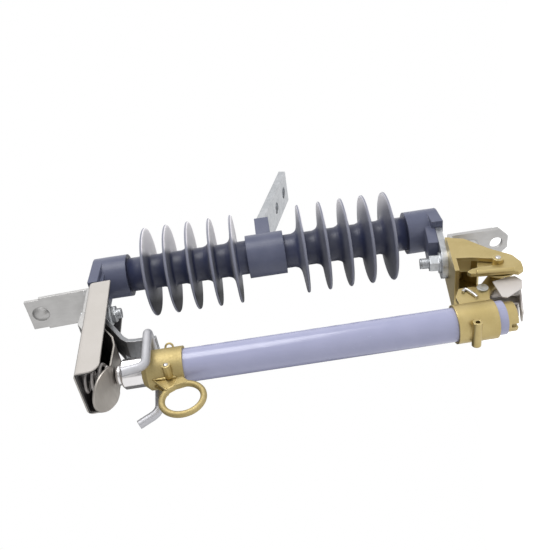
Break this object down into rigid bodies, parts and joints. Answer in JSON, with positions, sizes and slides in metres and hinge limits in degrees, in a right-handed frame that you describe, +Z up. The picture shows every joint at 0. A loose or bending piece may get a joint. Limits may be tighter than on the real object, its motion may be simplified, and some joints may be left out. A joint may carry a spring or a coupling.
{
  "type": "drop-out fuse cutout",
  "caption": "Drop-out fuse cutout: shedded polymer insulator on a mounting bar, sprung upper contact under a hood, and a fuse tube that hinges down from slotted brass cheeks.",
  "frame": {"origin": "on the under face of the mounting bar, midway between its two bolt holes", "axes": "+Z up as installed, +Y along the bar towards its free end at the rear, -Y the front where the fuse tube hangs, X across"},
  "size_m": [0.095, 0.3907, 0.4743],
  "materials": {
    "silicone": "matt moulded silicone",
    "paint": "satin blue-grey paint",
    "zinc": "galvanised",
    "cream": "pale satin",
    "tin": "tinned, satin",
    "brass": "cast, satin",
    "tube": "gloss"
  },
  "bodies": {
    "frame": {"insulator": "silicone", "centre_band": "paint", "mounting_bar": "zinc", "upper_fitting": "paint", "upper_bolt": "zinc", "hood": "cream", "contact_arm": "tin", "hook_strap": "zinc", "hook_rod": "zinc", "upper_terminal": "tin", "upper_terminal_bolt": "zinc", "lower_fitting": "paint", "hinge_plate": "zinc", "hinge_bolt": "zinc", "hinge": "brass", "lower_terminal": "tin", "lower_terminal_bolt": "zinc"},
    "fuse_holder": {"fuse_tube": "tube", "upper_casting": "brass", "ferrule": "tin", "lower_casting": "brass", "trunnion": "brass", "toggle_pin": "zinc", "muzzle": "brass"},
    "flipper": {"flipper": "tin"}
  },
  "joints": [
    {"name": "drop_out", "type": "hinge", "parent": "frame", "child": "fuse_holder", "pos_m": [0, -0.1591, -0.24259], "axis": [1, 0, 0], "range_deg": [0, 148]},
    {"name": "flipper_hinge", "type": "hinge", "parent": "fuse_holder", "child": "flipper", "pos_m": [0, -0.18863, -0.22888], "axis": [1, 0, 0], "range_deg": [0, 11], "stiffness_Nm_per_rad": 0.1}
  ]
}
